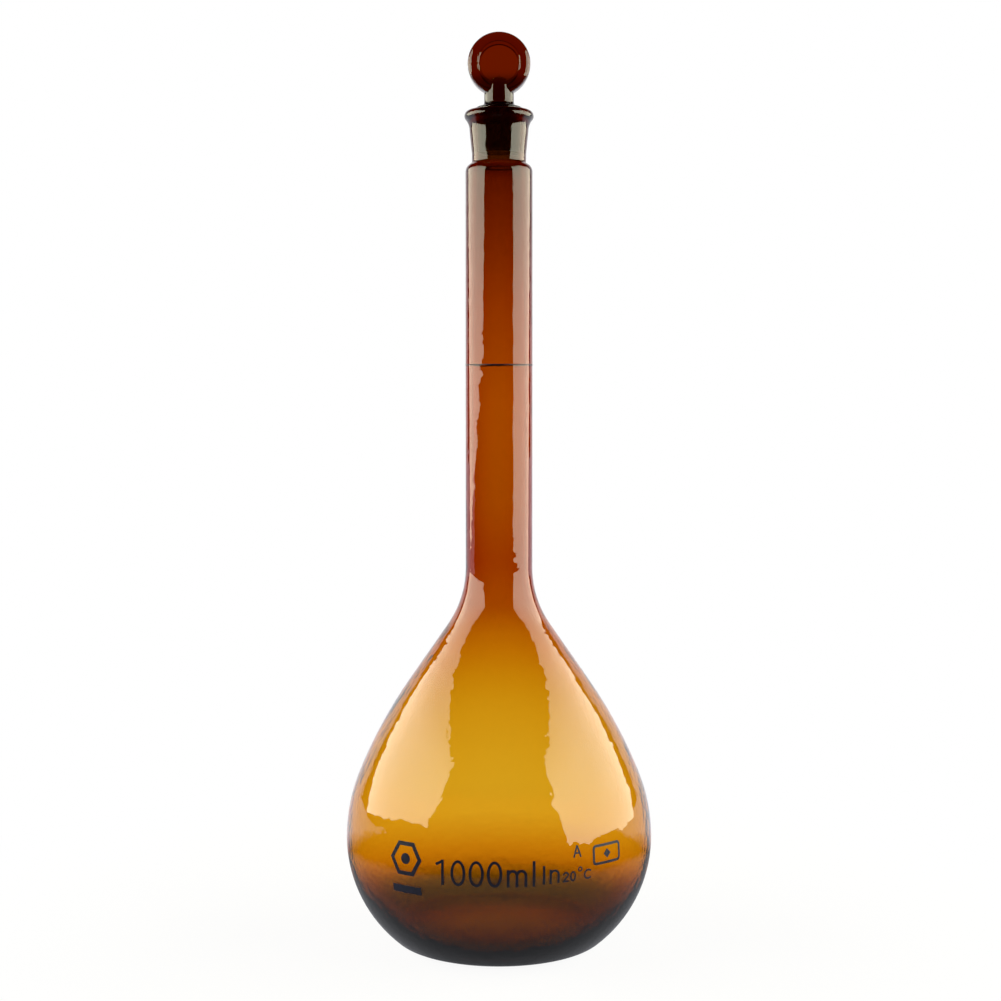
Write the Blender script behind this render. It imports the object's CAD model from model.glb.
import math

import bmesh
import bpy
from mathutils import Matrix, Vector


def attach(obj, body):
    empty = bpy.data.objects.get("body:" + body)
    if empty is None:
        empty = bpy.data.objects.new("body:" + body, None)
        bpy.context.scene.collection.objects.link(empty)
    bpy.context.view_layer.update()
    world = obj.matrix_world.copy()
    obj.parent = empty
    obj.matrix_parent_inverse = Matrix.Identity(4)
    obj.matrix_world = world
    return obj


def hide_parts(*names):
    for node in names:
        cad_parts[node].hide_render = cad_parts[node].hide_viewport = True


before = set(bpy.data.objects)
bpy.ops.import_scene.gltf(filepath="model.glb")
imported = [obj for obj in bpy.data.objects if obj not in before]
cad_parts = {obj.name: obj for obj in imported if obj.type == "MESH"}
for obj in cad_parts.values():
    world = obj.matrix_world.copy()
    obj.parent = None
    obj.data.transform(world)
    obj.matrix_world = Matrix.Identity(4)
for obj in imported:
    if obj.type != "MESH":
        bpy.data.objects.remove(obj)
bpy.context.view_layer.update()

MM = 0.001

# ---- flask: outside skin, millimetres ----
standing_ring_inner = 33.0
base_kick = 3.0
heel_round = 9.0
bulb_radius = 62.2
equator_height = 43.2
lower_bulb_round = 53.4
upper_bulb_round = 66.6
upper_bulb_turn = 21.9
upper_flank_round = 193.1
upper_flank_turn = 34.8
throat_round = 40.9
neck_radius = 13.6

# ---- flask: inside skin ----
floor_height = 5.2
floor_rise = 7.4
inner_heel_round = 12.0
inner_bulb_radius = 61.15
inner_lower_round = 45.5
inner_upper_round = 65.4
inner_upper_turn = 22.0
inner_flank_round = 186.6
inner_flank_turn = 35.5
inner_throat_round = 46.0
neck_bottom = 156.0
bore_bottom = 10.3
bore_middle = 10.4
bore_top = 9.4

# ---- neck shoulder and ground joint ----
neck_shoulder = 312.9
shoulder_round = 3.6
shoulder_fillet = 1.2
socket_radius_low = 11.0
socket_flare_start = 320.0
socket_radius_high = 11.95
socket_flare_end = 329.4
rim_height = 337.7
bead_round = 2.3
bead_centre_radius = 11.75
joint_large_radius = 9.4
joint_length = 17.0
joint_taper = 0.05
joint_clearance = 0.03
mouth_round = 0.5
rim_flare_out = 0.45          # how the flare under the bead bulges out and up
rim_flare_up = 2.6
bead_start_angle = -40
socket_throat = 8.55
throat_out = 0.15             # the inside shoulder, from the throat down to the bore
throat_up = 3.4
bore_shoulder_in = 0.28
bore_shoulder_up = 0.6
bore_shoulder_down = 3.0

# ---- stopper ----
plug_end_round = 1.0
plug_end_gap = 0.4
collar_top = 339.0
collar_radius = 8.7
collar_edge_round = 0.7
collar_edge_step = 0.5
stem_foot_round = 0.62
stem_radius = 6.0
stem_start = 341.2
dome_height = 346.4
head_height = 356.3
head_radius = 12.65
head_half_thickness = 5.2
head_edge_round = 2.6
dish_radius = 8.6
dish_half_thickness = 4.3
dish_fillet = 0.9
dish_fillet_middle = 0.26
dish_lip_round = 0.35

# ---- glass ----
glass_ior = 1.5
ground_roughness = 0.32
plug_ground_inner = 7.9       # millimetres: the frosting fades in between these two radii
plug_ground_outer = 8.2
flask_waviness = 0.0005       # metres: the depth of the slow waves in the blown surface
stopper_waviness = 0.00004
broad_wave_scale = 30.0
fine_wave_scale = 120.0
fine_wave_share = 0.4
flask_steps = 256             # steps round the axis
stopper_steps = 160
amber_colour = (0.9455, 0.7967, 0.047, 1)
amber_density = 2130.0        # per metre
stopper_colour = (0.896, 0.75, 0.03, 1)
stopper_density = 2200.0


# ---------------------------------------------------------------- outlines

def polar(centre, radius, degrees):
    angle = math.radians(degrees)
    return (centre[0] + radius * math.cos(angle), centre[1] + radius * math.sin(angle))


def arc(centre, radius, start, end, step=4.0):
    """Points along an arc, both ends included."""
    count = max(2, math.ceil(abs(end - start) / step))
    return [polar(centre, radius, start + (end - start) * i / count) for i in range(count + 1)]


def arc_through(start, middle, end, count=10):
    """Points of the circle arc through three points."""
    (ax, ay), (bx, by), (cx, cy) = start, middle, end
    d = 2 * (ax * (by - cy) + bx * (cy - ay) + cx * (ay - by))
    a, b, c = ax * ax + ay * ay, bx * bx + by * by, cx * cx + cy * cy
    centre = ((a * (by - cy) + b * (cy - ay) + c * (ay - by)) / d,
              (a * (cx - bx) + b * (ax - cx) + c * (bx - ax)) / d)
    radius = math.dist(start, centre)
    first = math.degrees(math.atan2(ay - centre[1], ax - centre[0]))
    last = math.degrees(math.atan2(cy - centre[1], cx - centre[0]))
    turn = math.remainder(last - first, 360)
    return [polar(centre, radius, first + turn * i / count) for i in range(count + 1)]


def run(start, end, count):
    """Evenly spaced points along a straight line, both ends included."""
    return [(start[0] + (end[0] - start[0]) * i / count, start[1] + (end[1] - start[1]) * i / count)
            for i in range(count + 1)]


def joined(*stretches):
    """One outline from stretches that share their end points."""
    points = []
    for stretch in stretches:
        for point in stretch:
            if not points or math.dist(points[-1], point) > 1e-4:
                points.append(point)
    return points


def bulb_skin(bottom, heel, equator, low, high, high_turn, flank, flank_turn, throat, neck):
    """Tangent arcs of one skin of the bulb, from its heel up to the neck."""
    low_centre = (equator - low, equator_height)
    drop = equator_height - (bottom + heel)
    heel_centre = (low_centre[0] + math.sqrt((low - heel) ** 2 - drop ** 2), bottom + heel)
    heel_end = -math.degrees(math.atan2(drop, heel_centre[0] - low_centre[0]))
    high_centre = (equator - high, equator_height)
    flank_centre = polar(high_centre, high - flank, high_turn)
    flank_end = polar(flank_centre, flank, flank_turn)
    cosine = math.cos(math.radians(flank_turn))
    sine = math.sin(math.radians(flank_turn))
    neck_start = (throat + cosine * flank_end[0] + sine * flank_end[1] - cosine * (neck + throat)) / sine
    throat_centre = (neck + throat, neck_start)
    return joined(
        arc(heel_centre, heel, -90, heel_end, 6),
        arc(low_centre, low, heel_end, 0, 3),
        arc(high_centre, high, 0, high_turn, 3),
        arc(flank_centre, flank, high_turn, flank_turn, 1.6),
        run(flank_end, polar(throat_centre, throat, 180 + flank_turn), 4),
        arc(throat_centre, throat, 180 + flank_turn, 180, 3),
    )


def dome_arc(rim_radius, rim_z, centre_z, count=14):
    """Shallow arc from the axis out to a rim, level at the axis."""
    rise = centre_z - rim_z
    radius = (rim_radius ** 2 + rise ** 2) / (2 * rise)
    points = []
    for i in range(count + 1):
        r = rim_radius * i / count
        points.append((r, centre_z - radius + math.sqrt(radius ** 2 - r ** 2)))
    return points


def flask_outline():
    """Closed outline of the glass, from the middle of the base outwards and up, then down inside."""
    outer = bulb_skin(0, heel_round, bulb_radius, lower_bulb_round, upper_bulb_round, upper_bulb_turn,
                      upper_flank_round, upper_flank_turn, throat_round, neck_radius)
    inner = bulb_skin(floor_height, inner_heel_round, inner_bulb_radius, inner_lower_round,
                      inner_upper_round, inner_upper_turn, inner_flank_round, inner_flank_turn,
                      inner_throat_round, bore_bottom)
    convex = (neck_radius - shoulder_round, neck_shoulder)
    offset = socket_radius_low + shoulder_fillet - convex[0]
    rise = math.sqrt((shoulder_round + shoulder_fillet) ** 2 - offset ** 2)
    concave = (convex[0] + offset, convex[1] + rise)
    turn = math.degrees(math.atan2(rise, offset))
    bead = (bead_centre_radius, rim_height - bead_round)
    bead_start = polar(bead, bead_round, bead_start_angle)
    mouth = (joint_large_radius + mouth_round, rim_height - mouth_round)
    joint_small = (joint_large_radius - joint_taper * joint_length, mouth[1] - joint_length)
    inside_shoulder = (socket_throat + throat_out, neck_shoulder + throat_up)
    bore_end = (bore_top, neck_shoulder - bore_shoulder_down)
    bore_mid = (bore_middle, (neck_bottom + neck_shoulder) / 2)
    outside = joined(
        dome_arc(standing_ring_inner, 0, base_kick),
        run((standing_ring_inner, 0), outer[0], 3),
        outer,
        run(outer[-1], (neck_radius, neck_shoulder), 24),
        arc(convex, shoulder_round, 0, turn, 6),
        arc(concave, shoulder_fillet, turn + 180, 180, 12),
        run((socket_radius_low, concave[1]), (socket_radius_low, socket_flare_start), 2),
        run((socket_radius_low, socket_flare_start), (socket_radius_high, socket_flare_end), 5),
        arc_through((socket_radius_high, socket_flare_end),
                    (socket_radius_high + rim_flare_out, socket_flare_end + rim_flare_up), bead_start),
        arc(bead, bead_round, bead_start_angle, 90, 8),
        run((bead_centre_radius, rim_height), (mouth[0], rim_height), 2),
        arc(mouth, mouth_round, 90, 180, 15),
    )
    inside = joined(
        run((joint_large_radius, mouth[1]), joint_small, 8),
        run(joint_small, inside_shoulder, 3),
        arc_through(inside_shoulder, (bore_top - bore_shoulder_in, neck_shoulder + bore_shoulder_up),
                    bore_end, 8),
        arc_through(bore_end, bore_mid, (bore_bottom, neck_bottom), 24),
        inner[::-1],
        dome_arc(inner[0][0], floor_height, floor_rise)[::-1],
    )
    return joined(outside, inside)


def plug_outline():
    """Outline of the stopper's turned part, from the plug's end up to the domed stem."""
    plug_top = joint_large_radius - joint_clearance
    joint_top = rim_height - mouth_round
    plug_end = joint_top - joint_length + plug_end_gap
    plug_small = plug_top - joint_taper * (joint_top - plug_end)
    rounding = (plug_small - plug_end_round, plug_end + plug_end_round)
    collar_edge = (plug_top - collar_edge_round, collar_top - collar_edge_round)
    collar_inner = (collar_radius - collar_edge_step, collar_top)
    return joined(
        run((0, plug_end), (rounding[0], plug_end), 4),
        arc(rounding, plug_end_round, -90, 0, 15),
        run((plug_small, rounding[1]), (plug_top, joint_top), 10),
        run((plug_top, joint_top), (plug_top, collar_edge[1]), 2),
        arc(collar_edge, collar_edge_round, 0, 90, 15),
        run((collar_edge[0], collar_top), collar_inner, 1),
        arc_through(collar_inner, (stem_radius + stem_foot_round, collar_top + stem_foot_round),
                    (stem_radius, stem_start)),
        run((stem_radius, stem_start), (stem_radius, dome_height), 4),
        arc((0, dome_height), stem_radius, 0, 90, 6),
    )


def head_outline():
    """Half of the dished head's section: (radius, offset from its middle plane)."""
    edge = (head_radius - head_edge_round, head_half_thickness - head_edge_round)
    dish_edge = (dish_radius - dish_fillet, dish_half_thickness)
    lip = (dish_radius + dish_lip_round, head_half_thickness - dish_lip_round)
    front = joined(
        run((0, dish_half_thickness), dish_edge, 4),
        arc_through(dish_edge,
                    (dish_radius - dish_fillet_middle, dish_half_thickness + dish_fillet_middle),
                    (dish_radius, lip[1]), 8),
        arc(lip, dish_lip_round, 180, 90, 15),
        arc(edge, head_edge_round, 90, 0, 9),
    )
    back = [(r, -y) for r, y in front[::-1]]
    return front + back


# ---------------------------------------------------------------- meshes

def lathe(outline, steps, place):
    """Closed mesh turned from an outline that starts and ends on its axis.

    place turns (radius, angle, height along the axis) into a point in millimetres.
    """
    shape = bmesh.new()
    rings = []
    for radius, along in outline:
        if radius < 1e-6:
            rings.append([shape.verts.new(Vector(place(0, 0, along)) * MM)])
            continue
        ring = []
        for i in range(steps):
            ring.append(shape.verts.new(Vector(place(radius, 2 * math.pi * i / steps, along)) * MM))
        rings.append(ring)
    for lower, upper in zip(rings, rings[1:]):
        for i in range(steps):
            j = (i + 1) % steps
            corners = [lower[i % len(lower)], lower[j % len(lower)],
                       upper[j % len(upper)], upper[i % len(upper)]]
            shape.faces.new(list(dict.fromkeys(corners)))    # three corners where a ring is one point
    bmesh.ops.recalc_face_normals(shape, faces=shape.faces[:])
    return shape


def about_z(radius, angle, along):
    return (radius * math.cos(angle), radius * math.sin(angle), along)


def about_head_axis(radius, angle, along):
    return (radius * math.cos(angle), along, head_height + radius * math.sin(angle))


def add_object(name, shape, material):
    mesh = bpy.data.meshes.new(name)
    shape.to_mesh(mesh)
    shape.free()
    mesh.polygons.foreach_set("use_smooth", [True] * len(mesh.polygons))
    obj = bpy.data.objects.new(name, mesh)
    bpy.context.scene.collection.objects.link(obj)
    mesh.materials.append(material)
    return obj


def union(base, other):
    """Joins two closed meshes into one and removes the second object."""
    modifier = base.modifiers.new("union", "BOOLEAN")
    modifier.operation = "UNION"
    modifier.solver = "EXACT"
    modifier.object = other
    depsgraph = bpy.context.evaluated_depsgraph_get()
    merged = bpy.data.meshes.new_from_object(base.evaluated_get(depsgraph))
    base.modifiers.clear()
    base.data = merged
    bpy.data.objects.remove(other)


# ---------------------------------------------------------------- materials

def new_material(name):
    material = bpy.data.materials.new(name)
    material.use_nodes = True
    tree = material.node_tree
    tree.nodes.clear()
    return material, tree


def math_node(tree, operation, first, second=None):
    node = tree.nodes.new("ShaderNodeMath")
    node.operation = operation
    for socket, value in zip(node.inputs, (first, second)):
        if value is None:
            continue
        if isinstance(value, (int, float)):
            socket.default_value = value
        else:
            tree.links.new(value, socket)
    return node.outputs[0]


def smooth_step(tree, value, low, high, at_low=0.0, at_high=1.0):
    """A smooth ramp of value from at_low to at_high between low and high."""
    node = tree.nodes.new("ShaderNodeMapRange")
    node.interpolation_type = "SMOOTHSTEP"
    for name, number in (("From Min", low), ("From Max", high), ("To Min", at_low), ("To Max", at_high)):
        node.inputs[name].default_value = number
    tree.links.new(value, node.inputs["Value"])
    return node.outputs["Result"]


def position_parts(tree):
    """Object-space coordinates, height and distance from the Z axis, in metres."""
    coords = tree.nodes.new("ShaderNodeTexCoord")
    split = tree.nodes.new("ShaderNodeSeparateXYZ")
    tree.links.new(coords.outputs["Object"], split.inputs[0])
    square = math_node(tree, "ADD", math_node(tree, "MULTIPLY", split.outputs["X"], split.outputs["X"]),
                       math_node(tree, "MULTIPLY", split.outputs["Y"], split.outputs["Y"]))
    return coords.outputs["Object"], split.outputs["Z"], math_node(tree, "SQRT", square)


def noise_height(tree, coords, scale, detail, depth):
    """Smooth noise as a height in metres."""
    noise = tree.nodes.new("ShaderNodeTexNoise")
    noise.inputs["Scale"].default_value = scale
    noise.inputs["Detail"].default_value = detail
    tree.links.new(coords, noise.inputs["Vector"])
    return math_node(tree, "MULTIPLY", noise.outputs["Fac"], depth)


def tint_by_height(tree, height, socket, stops):
    """Colours the glass by height: stops are (millimetres, colour)."""
    top = stops[-1][0]
    place = tree.nodes.new("ShaderNodeMapRange")
    place.inputs["From Max"].default_value = top * MM
    tree.links.new(height, place.inputs["Value"])
    ramp = tree.nodes.new("ShaderNodeValToRGB")
    elements = ramp.color_ramp.elements
    elements.remove(elements[1])
    for index, (level, colour) in enumerate(stops):
        element = elements[0] if index == 0 else elements.new(level / top)
        element.position = level / top
        element.color = (*colour, 1)
    tree.links.new(place.outputs["Result"], ramp.inputs["Fac"])
    tree.links.new(ramp.outputs["Color"], socket)


# Glass of uneven depth of colour: deeper in the heavy heel, at the throat and up towards the joint.
flask_tint = (
    (0, (0.2, 0.31, 0.44)), (8, (0.26, 0.33, 0.44)), (12, (0.4, 0.42, 0.43)),
    (17, (0.68, 0.52, 0.42)), (24, (0.8, 0.63, 0.5)), (38, (0.95, 0.91, 0.9)),
    (52, (0.98, 0.98, 0.98)), (85, (0.97, 0.98, 1.0)), (105, (0.94, 0.93, 0.9)), (121, (0.89, 0.80, 0.7)),
    (138, (0.77, 0.61, 0.5)), (154, (0.825, 0.835, 0.65)), (178, (0.86, 0.965, 0.75)),
    (219, (0.88, 0.98, 0.85)), (260, (0.775, 0.80, 0.55)), (301, (0.565, 0.575, 0.3)),
    (311, (0.5, 0.5, 0.3)), (314, (0.36, 0.28, 0.26)), (319, (0.24, 0.2, 0.24)), (338, (0.32, 0.26, 0.3)),
)
# The stopper is darker where it is ground and where its stem's end shows through the head.
stopper_tint = (
    (300, (0.6, 0.42, 0.6)), (338, (0.24, 0.3, 0.7)), (346, (0.25, 0.3, 0.7)), (349.5, (0.28, 0.34, 0.6)),
    (352, (0.9, 0.9, 0.9)), (354, (1, 1, 1)), (370, (1, 1, 1)),
)


def amber_glass(name, colour, density, ground_mask, tint, waviness):
    """Clear brown glass with slight hand-blown waviness and a ground, frosted zone."""
    material, tree = new_material(name)
    shader = tree.nodes.new("ShaderNodeBsdfPrincipled")
    shader.inputs["Transmission Weight"].default_value = 1.0
    shader.inputs["IOR"].default_value = glass_ior
    coords, height, radius = position_parts(tree)
    tint_by_height(tree, height, shader.inputs["Base Color"], tint)
    mask = ground_mask(tree, height, radius)
    rough = tree.nodes.new("ShaderNodeMapRange")
    rough.inputs["To Min"].default_value = 0.0
    rough.inputs["To Max"].default_value = ground_roughness
    tree.links.new(mask, rough.inputs["Value"])
    tree.links.new(rough.outputs["Result"], shader.inputs["Roughness"])
    broad = noise_height(tree, coords, broad_wave_scale, 1.0, waviness)
    fine = noise_height(tree, coords, fine_wave_scale, 2.0, waviness * fine_wave_share)
    bump = tree.nodes.new("ShaderNodeBump")
    bump.inputs["Strength"].default_value = 1.0
    bump.inputs["Distance"].default_value = 1.0
    tree.links.new(math_node(tree, "ADD", broad, fine), bump.inputs["Height"])
    tree.links.new(bump.outputs["Normal"], shader.inputs["Normal"])
    absorption = tree.nodes.new("ShaderNodeVolumeAbsorption")
    absorption.inputs["Color"].default_value = colour
    absorption.inputs["Density"].default_value = density
    output = tree.nodes.new("ShaderNodeOutputMaterial")
    tree.links.new(shader.outputs[0], output.inputs["Surface"])
    tree.links.new(absorption.outputs[0], output.inputs["Volume"])
    return material


def socket_ground(tree, height, radius):
    """Inside face of the socket, over the length of the ground joint."""
    joint_end = rim_height - joint_length
    inside = math_node(tree, "LESS_THAN", radius, (joint_large_radius + 0.1) * MM)
    above = smooth_step(tree, height, (joint_end - 1) * MM, joint_end * MM)
    return math_node(tree, "MULTIPLY", inside, above)


def plug_ground(tree, height, radius):
    """Side of the plug below the rim: ground down to its rounded end."""
    side = smooth_step(tree, radius, plug_ground_inner * MM, plug_ground_outer * MM)
    below = smooth_step(tree, height, (rim_height + 0.6) * MM, (rim_height - 0.2) * MM)
    return math_node(tree, "MULTIPLY", side, below)


def enamel_material():
    """Fired dark blue print: satin, slightly uneven in colour and gloss."""
    material, tree = new_material("enamel")
    shader = tree.nodes.new("ShaderNodeBsdfPrincipled")
    coords, _, _ = position_parts(tree)
    noise = tree.nodes.new("ShaderNodeTexNoise")
    noise.inputs["Scale"].default_value = 900.0
    noise.inputs["Detail"].default_value = 3.0
    tree.links.new(coords, noise.inputs["Vector"])
    ramp = tree.nodes.new("ShaderNodeValToRGB")
    ramp.color_ramp.elements[0].position = 0.3
    ramp.color_ramp.elements[0].color = (0.006, 0.007, 0.022, 1)
    ramp.color_ramp.elements[1].position = 0.75
    ramp.color_ramp.elements[1].color = (0.013, 0.016, 0.05, 1)
    tree.links.new(noise.outputs["Fac"], ramp.inputs["Fac"])
    tree.links.new(ramp.outputs["Color"], shader.inputs["Base Color"])
    rough = tree.nodes.new("ShaderNodeMapRange")
    rough.inputs["To Min"].default_value = 0.32
    rough.inputs["To Max"].default_value = 0.5
    tree.links.new(noise.outputs["Fac"], rough.inputs["Value"])
    tree.links.new(rough.outputs["Result"], shader.inputs["Roughness"])
    output = tree.nodes.new("ShaderNodeOutputMaterial")
    tree.links.new(shader.outputs[0], output.inputs["Surface"])
    return material


# ---------------------------------------------------------------- flask, stopper and print

def make_flask():
    glass = amber_glass("amber_glass", amber_colour, amber_density, socket_ground, flask_tint, flask_waviness)
    obj = add_object("flask_glass", lathe(flask_outline(), flask_steps, about_z), glass)
    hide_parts("bulb", "neck_tube", "ground_socket")
    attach(obj, "flask")


def make_stopper():
    glass = amber_glass("amber_glass_stopper", stopper_colour, stopper_density, plug_ground, stopper_tint,
                        stopper_waviness)
    obj = add_object("stopper_glass", lathe(plug_outline(), stopper_steps, about_z), glass)
    head = add_object("stopper_head", lathe(head_outline(), stopper_steps, about_head_axis), glass)
    union(obj, head)
    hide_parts("stopper")
    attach(obj, "stopper")


def finish_marks():
    enamel = enamel_material()
    for name in ("graduation_ring", "capacity_mark", "temperature_mark", "class_mark", "maker_mark",
                 "approval_mark"):
        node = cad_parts[name]
        for slot in node.material_slots:
            slot.material = enamel


# ---------------------------------------------------------------- stage, light, camera

camera_offset = 0.6 * MM      # along +X
camera_distance = 734.4 * MM
camera_height = 221.2 * MM
camera_lens = 64.86
camera_pitch = math.radians(1.75)
camera_shift = -0.047

# Corners of the two softboxes, as (azimuth, elevation) in degrees seen from the middle of the bulb.
left_softbox = ((-54, 10), (-118, -1), (-133, 22), (-118, 34), (-95, 46), (-44, 35))
right_softbox = ((51, -1), (120, -3), (133, 22), (118, 34), (95, 46), (44, 35))
softbox_distance = 1.2
softbox_aim_height = 0.08
softbox_strength = 4.8
softbox_top_strength = 3.3
softbox_fade = (0.5, 0.85)    # metres: the heights between which the strength falls to its top value
softbox_colour = (1.07, 1.05, 0.82, 1)
reflected_dark = 0.0          # strength of the surroundings as the glass mirrors them: most of them
reflected_backdrop = 0.9      # and the backdrop behind the object
backdrop_edge = (0.7, 0.76)   # how far a direction points away from the camera, 0 to 1

table_radius = 6.0
table_drop = 0.3 * MM
# Each pair is the two radii, in metres, between which one look of the table gives way to the next.
table_fade = (0.1, 0.3)       # seen directly: lit near the flask, plain white further out
table_white_share = 0.93      # how white it already is near the flask
table_dim_edge = (0.05, 0.13)    # seen through the glass: dim close under it, bright further out
table_dim = 0.03
table_under_base_edge = (0.022, 0.036)
table_under_base = 0.4        # light gathered by the glass under the middle of the base
table_mirrored_edge = (0.15, 0.2)
table_mirrored = 0.27         # mirrored in the glass: the table near the flask
table_mirrored_colour = (0.96, 0.98, 1.05, 1)
table_behind_edge = (0.08, 0.2)    # mirrored too, measured along +Y: the bright table behind


def make_camera():
    data = bpy.data.cameras.new("camera")
    data.lens = camera_lens
    data.sensor_width = 36.0
    data.shift_y = camera_shift
    camera = bpy.data.objects.new("camera", data)
    camera.location = (camera_offset, -camera_distance, camera_height)
    camera.rotation_euler = (math.radians(90) - camera_pitch, 0, 0)
    bpy.context.scene.collection.objects.link(camera)
    bpy.context.scene.camera = camera


def blend_shaders(tree, factor, first, second):
    """first where factor is 0, second where it is 1."""
    node = tree.nodes.new("ShaderNodeMixShader")
    tree.links.new(factor, node.inputs[0])
    tree.links.new(first, node.inputs[1])
    tree.links.new(second, node.inputs[2])
    return node.outputs[0]


def glow(tree, strength, colour=(1, 1, 1, 1)):
    """Even light of a given strength, a number or a socket."""
    node = tree.nodes.new("ShaderNodeEmission")
    node.inputs["Color"].default_value = colour
    if isinstance(strength, (int, float)):
        node.inputs["Strength"].default_value = strength
    else:
        tree.links.new(strength, node.inputs["Strength"])
    return node.outputs[0]


def make_floor():
    """Pale floor: it looks different seen directly, seen through the glass and mirrored in it."""
    shape = bmesh.new()
    bmesh.ops.create_circle(shape, cap_ends=True, segments=96, radius=table_radius)
    material, tree = new_material("pale_floor")
    coords, _, radius = position_parts(tree)
    split = tree.nodes.new("ShaderNodeSeparateXYZ")
    tree.links.new(coords, split.inputs[0])
    depth = split.outputs["Y"]
    path = tree.nodes.new("ShaderNodeLightPath")
    pale = tree.nodes.new("ShaderNodeBsdfDiffuse")
    pale.inputs["Color"].default_value = (1, 1, 1, 1)
    far = smooth_step(tree, radius, *table_fade, table_white_share, 1.0)
    seen = blend_shaders(tree, far, pale.outputs[0], glow(tree, 1.0))
    under_base = smooth_step(tree, radius, *table_under_base_edge, table_under_base, 0.0)
    around = smooth_step(tree, radius, *table_dim_edge, table_dim, 1.0)
    through = glow(tree, math_node(tree, "MAXIMUM", under_base, around))
    near = smooth_step(tree, radius, *table_mirrored_edge, table_mirrored, 0.0)
    behind = smooth_step(tree, depth, *table_behind_edge, 0.0, reflected_backdrop)
    mirrored = glow(tree, math_node(tree, "MAXIMUM", near, behind), table_mirrored_colour)
    hidden = blend_shaders(tree, path.outputs["Is Transmission Ray"], mirrored, through)
    surface = blend_shaders(tree, path.outputs["Is Camera Ray"], hidden, seen)
    output = tree.nodes.new("ShaderNodeOutputMaterial")
    tree.links.new(surface, output.inputs["Surface"])
    floor = add_object("floor", shape, material)
    floor.location.z = -table_drop


def sky_point(azimuth, elevation, distance):
    """A point seen from the bulb at an azimuth (0 is -Y, the camera's side) and an elevation."""
    a, e = math.radians(azimuth), math.radians(elevation)
    flat = distance * math.cos(e)
    return Vector((flat * math.sin(a), -flat * math.cos(a), softbox_aim_height + distance * math.sin(e)))


def make_softbox(name, corners):
    """Soft light beside the object: a panel given by the directions of its corners."""
    shape = bmesh.new()
    shape.faces.new([shape.verts.new(sky_point(*corner, softbox_distance)) for corner in corners])
    material, tree = new_material(name)
    output = tree.nodes.new("ShaderNodeOutputMaterial")
    _, height, _ = position_parts(tree)
    strength = smooth_step(tree, height, *softbox_fade, softbox_strength, softbox_top_strength)
    tree.links.new(glow(tree, strength, softbox_colour), output.inputs["Surface"])
    panel = add_object(name, shape, material)
    panel.visible_camera = False
    panel.visible_transmission = False


def make_world():
    """White to look at and through; mirrored in the glass it is black except behind the object."""
    world = bpy.data.worlds.new("studio")
    world.use_nodes = True
    tree = world.node_tree
    tree.nodes.clear()
    path = tree.nodes.new("ShaderNodeLightPath")
    coords = tree.nodes.new("ShaderNodeTexCoord")
    split = tree.nodes.new("ShaderNodeSeparateXYZ")
    tree.links.new(coords.outputs["Generated"], split.inputs[0])
    behind = smooth_step(tree, split.outputs["Y"], *backdrop_edge, reflected_dark, reflected_backdrop)
    direct = math_node(tree, "MAXIMUM", path.outputs["Is Camera Ray"], path.outputs["Is Transmission Ray"])
    strength = math_node(tree, "MAXIMUM", direct, behind)
    background = tree.nodes.new("ShaderNodeBackground")
    background.inputs["Color"].default_value = (1, 1, 1, 1)
    tree.links.new(strength, background.inputs["Strength"])
    output = tree.nodes.new("ShaderNodeOutputWorld")
    tree.links.new(background.outputs[0], output.inputs["Surface"])
    bpy.context.scene.world = world


make_camera()
make_world()
make_floor()
make_softbox("softbox_left", left_softbox)
make_softbox("softbox_right", right_softbox)
make_flask()
make_stopper()
finish_marks()

bpy.context.scene.view_settings.view_transform = "Standard"
cycles = bpy.context.scene.cycles
cycles.max_bounces = 32
cycles.transmission_bounces = 32
cycles.glossy_bounces = 16
cycles.volume_bounces = 4
